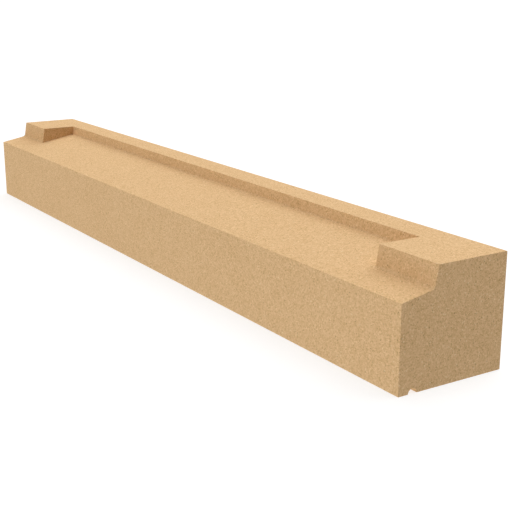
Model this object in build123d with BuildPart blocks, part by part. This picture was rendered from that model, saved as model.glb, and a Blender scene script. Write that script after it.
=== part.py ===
"""Stooled window sill, cast in stone as one piece.

A weathered wash falls to the front between two raised stools, with an upstand along the back and a
half-round drip groove under the nose. Sizes are in millimetres and angles in degrees. +X runs along
the sill, +Y from the front face to the back face and +Z up. The origin is the middle of the bed.
"""

import os
from math import radians, tan

from build123d import *

# Along the wall
clear_opening = 1025.0  # between the stools
stool_length = 100.0  # each built-in end

# Through the wall
nose_projection = 50.0  # front face to the front edge of a stool's top
stool_seat = 100.0  # that edge to the back face
upstand_seat = 40.0  # front edge of the upstand's top to the back face

# Up the wall
nose_height = 105.0  # bed to the front edge of the wash
stool_rise = 35.0  # front edge of the wash to the tops of the stools and the upstand
upstand_rise = 15.0  # back edge of the wash to those tops

# Slope
front_rake = 10.0  # degrees that the stool and upstand fronts lean back

# Drip groove
drip_radius = 6.0
drip_setback = 20.0  # front face to the middle of the groove

# Edges
cove_radius = 6.0  # where a stool's front runs out onto the wash
foot_radius = 2.0  # where the upstand's front runs out onto the wash
arris_radius = 0.5  # outside edges

# Places that follow from the sizes
sill_length = clear_opening + 2 * stool_length
sill_depth = nose_projection + stool_seat
sill_height = nose_height + stool_rise
front_y = -sill_depth / 2
back_y = sill_depth / 2
rake = tan(radians(front_rake))
wash_run = sill_depth - upstand_seat - upstand_rise * rake
fall = (stool_rise - upstand_rise) / wash_run


def section_corners(seat):
    """Corners (y, z) of the section whose raised top is that deep, the foot of its front first."""
    top_y = back_y - seat
    # The wash climbs from the nose until the raked front, coming down, meets it.
    run = (top_y - front_y - stool_rise * rake) / (1 - fall * rake)
    return [
        (front_y + run, nose_height + run * fall),
        (top_y, sill_height),
        (back_y, sill_height),
        (back_y, 0),
        (front_y, 0),
        (front_y, nose_height),
    ]


with BuildPart() as sill:
    # Wash between the stools, with the upstand behind it
    with BuildSketch(Plane.YZ.offset(-clear_opening / 2)) as wash_section:
        with BuildLine():
            Polyline(*section_corners(upstand_seat), close=True)
        make_face()
        upstand_foot = section_corners(upstand_seat)[0]
        fillet(wash_section.vertices().sort_by_distance(upstand_foot)[0], radius=foot_radius)
    extrude(amount=clear_opening)

    # Stools, one at each end, whose fronts run out onto the wash in a cove
    for end in (-1, 1):
        with BuildSketch(Plane.YZ.offset(end * clear_opening / 2)) as stool_section:
            with BuildLine():
                Polyline(*section_corners(stool_seat), close=True)
            make_face()
            stool_foot = section_corners(stool_seat)[0]
            fillet(stool_section.vertices().sort_by_distance(stool_foot)[0], radius=cove_radius)
        extrude(amount=end * stool_length)

    # Drip groove, open at both ends
    with BuildSketch(Plane.YZ.offset(-sill_length / 2)):
        with Locations((front_y + drip_setback, 0)):
            Circle(drip_radius)
    extrude(amount=sill_length, mode=Mode.SUBTRACT)

    # Arrises, all but the inner edges of the stools' fronts, which run out on the wash
    level_faces = sill.faces().filter_by(Axis.Z)
    front_face = sill.faces().sort_by(Axis.Y)[:1]
    end_faces = sill.faces().sort_by(Axis.X)[:1] + sill.faces().sort_by(Axis.X)[-1:]
    fillet((level_faces + front_face + end_faces).edges(), radius=arris_radius)

sill.part.label = "sill"
os.makedirs("parts", exist_ok=True)
export_step(sill.part, "parts/sill.step")
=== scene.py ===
"""Cast stone window sill on a white studio floor, seen from its right-hand end.

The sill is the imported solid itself, dressed in a sandy cast finish. Lengths are in metres, in the
sill's own frame: +X along the sill, +Y from its front face to its back face, +Z up from its bed.
"""

import math

import bpy
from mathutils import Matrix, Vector


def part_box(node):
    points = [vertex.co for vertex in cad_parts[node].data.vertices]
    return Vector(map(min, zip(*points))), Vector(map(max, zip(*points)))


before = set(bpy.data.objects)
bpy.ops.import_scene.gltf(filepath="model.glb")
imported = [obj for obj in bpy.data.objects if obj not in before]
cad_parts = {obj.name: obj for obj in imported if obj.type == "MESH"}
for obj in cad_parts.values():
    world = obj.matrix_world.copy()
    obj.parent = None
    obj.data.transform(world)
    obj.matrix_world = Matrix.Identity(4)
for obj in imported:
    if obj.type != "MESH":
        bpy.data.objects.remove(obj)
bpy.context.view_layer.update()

# Camera, as it stood for the photograph
LENS_MM = 72.0
SENSOR_MM = 36.0
VIEW_AZIMUTH = math.radians(57.4827)
VIEW_ELEVATION = math.radians(15.7024)
VIEW_DISTANCE = 1.29802  # along the middle of the view, to the front face
VIEW_ALONG = 0.33437  # where that meets the front face, from the sill's middle
VIEW_HEIGHT = 0.08911  # and above the bed

# Studio floor and room
WHITE = (1.0, 1.0, 1.0, 1.0)
FLOOR_SIDE = 120.0
FLOOR_LIGHT = 0.875  # what the floor gives back to the sill, evenly
FLOOR_SHADE = (0.40, 0.40, 0.40, 1.0)  # takes the lamps' light, and so shows the sill's shadow
FLOOR_GLOW = 0.72  # keeps the open floor white

# Studio lamps: azimuth from the front towards the right-hand end, elevation, width and level
OVERHEAD_LAMP = (math.radians(202), math.radians(65), math.radians(80), 0.90)
FRONT_LAMP = (math.radians(352), math.radians(18), math.radians(60), 0.38)

# Sand of the cast finish
BROWN_SAND = (0.56, 0.325, 0.13, 1.0)
OCHRE_SAND = (0.725, 0.46, 0.22, 1.0)
BUFF_SAND = (0.795, 0.52, 0.265, 1.0)
PALE_SAND = (0.855, 0.575, 0.31, 1.0)
CREAM_SAND = (0.955, 0.68, 0.385, 1.0)
SAND_TONES = ((0.08, BROWN_SAND), (0.22, OCHRE_SAND), (0.50, BUFF_SAND), (0.78, PALE_SAND),
              (0.92, CREAM_SAND))
SAND_SPACING = 0.0015
FINE_SPACING = 0.0006
SAND_SHARE = 0.65  # of the tone, the rest being the fine sand's

# Faint clouds in the sand
CLOUD_SIZE = 0.05
CLOUD_DETAIL = 2.0
CLOUD_MEAN = 0.5
CLOUD_SHARE = 0.10

# Coarser grains: colour, spacing, and share of the places that hold one
UMBER_GRAINS = ((0.38, 0.20, 0.07, 1.0), 0.0040, 0.10)
IVORY_GRAINS = ((0.98, 0.77, 0.48, 1.0), 0.0046, 0.12)
COARSE_RADIUS = 0.30  # in spacings

# Feel of the cast face
GRAIN_RELIEF = 0.0002
RELIEF_STRENGTH = 0.6
DARK_ROUGHNESS = 0.80
PALE_ROUGHNESS = 0.96
STONE_GLOSS = 0.2


def node(tree, kind, **inputs):
    """Adds a node of that kind and sets the named inputs."""
    made = tree.nodes.new(kind)
    for name, value in inputs.items():
        made.inputs[name.replace("_", " ")].default_value = value
    return made


def maths(tree, operation, *values):
    """Adds a Math node on those sockets or plain numbers."""
    made = tree.nodes.new("ShaderNodeMath")
    made.operation = operation
    for value, socket in zip(values, made.inputs):
        if isinstance(value, bpy.types.NodeSocket):
            tree.links.new(value, socket)
        else:
            socket.default_value = value
    return made.outputs[0]


def packed_grains():
    """Node group: grains packed side by side, with each one's tone and how far its middle is."""
    group = bpy.data.node_groups.new("packed_grains", "ShaderNodeTree")
    socket = group.interface.new_socket
    socket("Vector", in_out="INPUT", socket_type="NodeSocketVector")
    socket("Spacing", in_out="INPUT", socket_type="NodeSocketFloat")
    socket("Tone", in_out="OUTPUT", socket_type="NodeSocketFloat")
    socket("Distance", in_out="OUTPUT", socket_type="NodeSocketFloat")
    given = group.nodes.new("NodeGroupInput").outputs
    result = group.nodes.new("NodeGroupOutput").inputs
    grains = group.nodes.new("ShaderNodeTexVoronoi")
    tone = group.nodes.new("ShaderNodeSeparateColor")
    link = group.links.new
    link(given["Vector"], grains.inputs["Vector"])
    link(maths(group, "DIVIDE", 1.0, given["Spacing"]), grains.inputs["Scale"])
    link(grains.outputs["Color"], tone.inputs["Color"])
    link(tone.outputs["Red"], result["Tone"])
    link(grains.outputs["Distance"], result["Distance"])
    return group


def cast_stone():
    """Buff cast stone: sand of several tones packed in two sizes, with scattered coarser grains."""
    stone = bpy.data.materials.new("cast_stone")
    stone.use_nodes = True
    tree = stone.node_tree
    link = tree.links.new
    finish = tree.nodes["Principled BSDF"]
    place = tree.nodes.new("ShaderNodeTexCoord").outputs["Object"]
    grains = packed_grains()

    def pack(spacing):
        """Packs grains of one size."""
        made = tree.nodes.new("ShaderNodeGroup")
        made.node_tree = grains
        made.inputs["Spacing"].default_value = spacing
        link(place, made.inputs["Vector"])
        return made.outputs

    # Sand of two sizes, in faint clouds
    sand = pack(SAND_SPACING)
    fine = pack(FINE_SPACING)
    cloud = node(tree, "ShaderNodeTexNoise", Scale=1 / CLOUD_SIZE, Detail=CLOUD_DETAIL)
    link(place, cloud.inputs["Vector"])
    tone = maths(tree, "MULTIPLY", sand["Tone"], SAND_SHARE)
    tone = maths(tree, "MULTIPLY_ADD", fine["Tone"], 1 - SAND_SHARE, tone)
    drift = maths(tree, "SUBTRACT", cloud.outputs["Fac"], CLOUD_MEAN)
    tone = maths(tree, "MULTIPLY_ADD", drift, CLOUD_SHARE, tone)
    sands = tree.nodes.new("ShaderNodeValToRGB")
    stops = sands.color_ramp.elements
    for position, tint in SAND_TONES:
        stops.new(position).color = tint
    stops.remove(stops[0])  # the ramp's own black end
    stops.remove(stops[-1])  # and its white one
    link(tone, sands.inputs["Fac"])
    colour = sands.outputs["Color"]

    # Coarser grains, a few dark and a few pale
    for tint, spacing, share in (UMBER_GRAINS, IVORY_GRAINS):
        coarse = pack(spacing)
        rounded = node(tree, "ShaderNodeMapRange", From_Max=COARSE_RADIUS, To_Min=1.0, To_Max=0.0)
        rounded.interpolation_type = "SMOOTHSTEP"
        link(coarse["Distance"], rounded.inputs["Value"])
        picked = maths(tree, "LESS_THAN", coarse["Tone"], share)
        mixed = node(tree, "ShaderNodeMix")
        mixed.data_type = "RGBA"
        mixed.inputs["B"].default_value = tint
        link(maths(tree, "MULTIPLY", picked, rounded.outputs["Result"]), mixed.inputs["Factor"])
        link(colour, mixed.inputs["A"])
        colour = mixed.outputs["Result"]
    link(colour, finish.inputs["Base Color"])

    # Sandy face: each grain stands a little proud, and the darker ones are the smoother
    fine_depth = FINE_SPACING / SAND_SPACING
    dips = maths(tree, "MULTIPLY_ADD", fine["Distance"], fine_depth, sand["Distance"])
    bump = node(tree, "ShaderNodeBump", Strength=RELIEF_STRENGTH, Distance=GRAIN_RELIEF)
    bump.invert = True
    link(dips, bump.inputs["Height"])
    link(bump.outputs["Normal"], finish.inputs["Normal"])
    dull = node(tree, "ShaderNodeMapRange", To_Min=DARK_ROUGHNESS, To_Max=PALE_ROUGHNESS)
    link(tone, dull.inputs["Value"])
    link(dull.outputs["Result"], finish.inputs["Roughness"])
    finish.inputs["Specular IOR Level"].default_value = STONE_GLOSS
    return stone


def seen_rays(tree):
    """Rays that show the surroundings: the camera's own, and those through gloss or glass."""
    rays = tree.nodes.new("ShaderNodeLightPath").outputs
    seen = maths(tree, "MAXIMUM", rays["Is Camera Ray"], rays["Is Glossy Ray"])
    return maths(tree, "MAXIMUM", seen, rays["Is Transmission Ray"])


def studio_floor():
    """White floor that keeps a faint shadow of the sill."""
    bpy.ops.mesh.primitive_plane_add(size=FLOOR_SIDE)
    floor = bpy.context.object
    floor.name = "studio_floor"
    paint = bpy.data.materials.new("studio_floor")
    paint.use_nodes = True
    tree = paint.node_tree
    link = tree.links.new
    tree.nodes.remove(tree.nodes["Principled BSDF"])
    given_back = node(tree, "ShaderNodeEmission", Strength=FLOOR_LIGHT)
    shade = node(tree, "ShaderNodeBsdfDiffuse", Color=FLOOR_SHADE)
    glow = node(tree, "ShaderNodeEmission", Strength=FLOOR_GLOW)
    seen = tree.nodes.new("ShaderNodeAddShader")
    chosen = tree.nodes.new("ShaderNodeMixShader")
    link(shade.outputs[0], seen.inputs[0])
    link(glow.outputs[0], seen.inputs[1])
    link(seen_rays(tree), chosen.inputs["Fac"])
    link(given_back.outputs[0], chosen.inputs[1])
    link(seen.outputs[0], chosen.inputs[2])
    link(chosen.outputs[0], tree.nodes["Material Output"].inputs["Surface"])
    floor.data.materials.append(paint)


def studio_room():
    """White room, which is seen but gives no light of its own."""
    room = bpy.data.worlds.new("studio_room")
    bpy.context.scene.world = room
    room.use_nodes = True
    tree = room.node_tree
    walls = tree.nodes["Background"]
    walls.inputs["Color"].default_value = WHITE
    tree.links.new(seen_rays(tree), walls.inputs["Strength"])


def towards(azimuth, elevation):
    """Direction from the sill, with azimuth from its front towards its right-hand end."""
    level = math.cos(elevation)
    return Vector((math.sin(azimuth) * level, -math.cos(azimuth) * level, math.sin(elevation)))


def studio_lamp(name, azimuth, elevation, width, level):
    """Wide soft lamp, far enough away to light the sill evenly along its length."""
    lamp = bpy.data.lights.new(name, "SUN")
    lamp.angle = width
    lamp.energy = level * math.pi  # at level 1 a white card that faces the lamp renders white
    held = bpy.data.objects.new(name, lamp)
    held.rotation_mode = "QUATERNION"
    held.rotation_quaternion = (-towards(azimuth, elevation)).to_track_quat("-Z", "Y")
    bpy.context.scene.collection.objects.link(held)


def photo_camera():
    """Camera at the photograph's viewing angle."""
    lens = bpy.data.cameras.new("camera")
    lens.lens = LENS_MM
    lens.sensor_width = SENSOR_MM
    camera = bpy.data.objects.new("camera", lens)
    back = towards(VIEW_AZIMUTH, VIEW_ELEVATION)
    front_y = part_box("sill")[0].y
    camera.location = Vector((VIEW_ALONG, front_y, VIEW_HEIGHT)) + back * VIEW_DISTANCE
    camera.rotation_mode = "QUATERNION"
    camera.rotation_quaternion = (-back).to_track_quat("-Z", "Y")
    bpy.context.scene.collection.objects.link(camera)
    bpy.context.scene.camera = camera


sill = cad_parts["sill"]
sill.data.materials.clear()
sill.data.materials.append(cast_stone())
studio_floor()
studio_room()
studio_lamp("overhead_lamp", *OVERHEAD_LAMP)
studio_lamp("front_lamp", *FRONT_LAMP)
photo_camera()
bpy.context.scene.view_settings.view_transform = "Standard"
